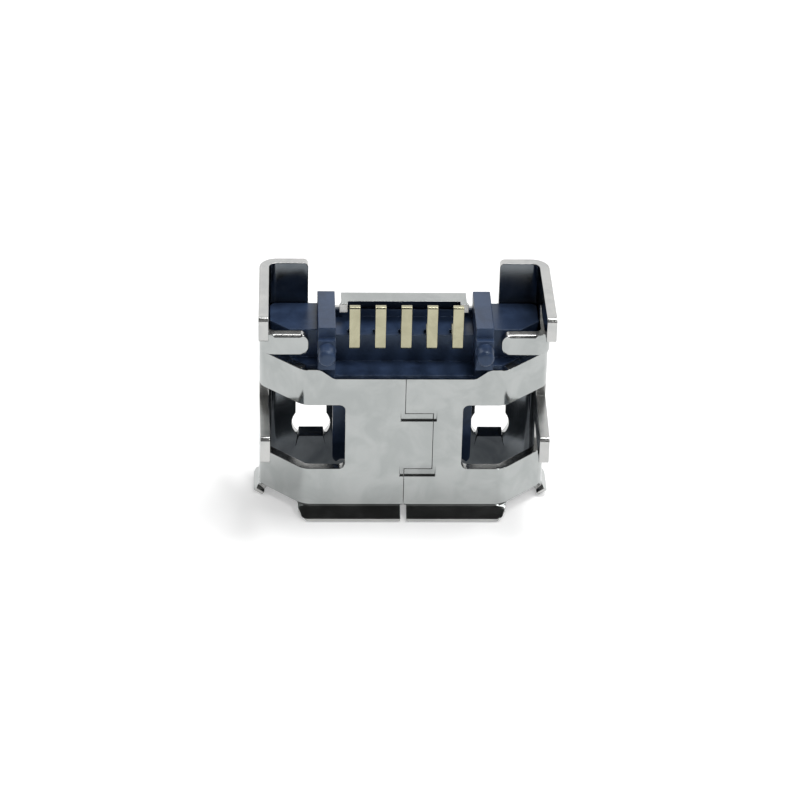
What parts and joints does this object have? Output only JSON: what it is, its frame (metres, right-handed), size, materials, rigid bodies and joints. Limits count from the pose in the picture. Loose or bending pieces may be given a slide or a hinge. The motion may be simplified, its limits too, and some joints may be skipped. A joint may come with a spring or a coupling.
{
  "type": "micro usb socket",
  "caption": "Board-mounted micro socket: folded metal shell with flared mouth and through-hole legs around a black moulding, a contact tongue and solder feet.",
  "frame": {"origin": "middle of the plug opening, on the plane that the flared lips touch", "axes": "+X across the mouth, +Y away from the circuit board, +Z from the mouth to the rear"},
  "size_m": [0.0078, 0.0036, 0.0063],
  "materials": {
    "shell_metal": "satin nickel plating",
    "black_moulding": "fine matt",
    "contact_metal": "satin plated"
  },
  "bodies": {
    "root": {"shell": "shell_metal", "insulator": "black_moulding", "contact_1": "contact_metal", "contact_2": "contact_metal", "contact_3": "contact_metal", "contact_4": "contact_metal", "contact_5": "contact_metal"}
  },
  "joints": []
}
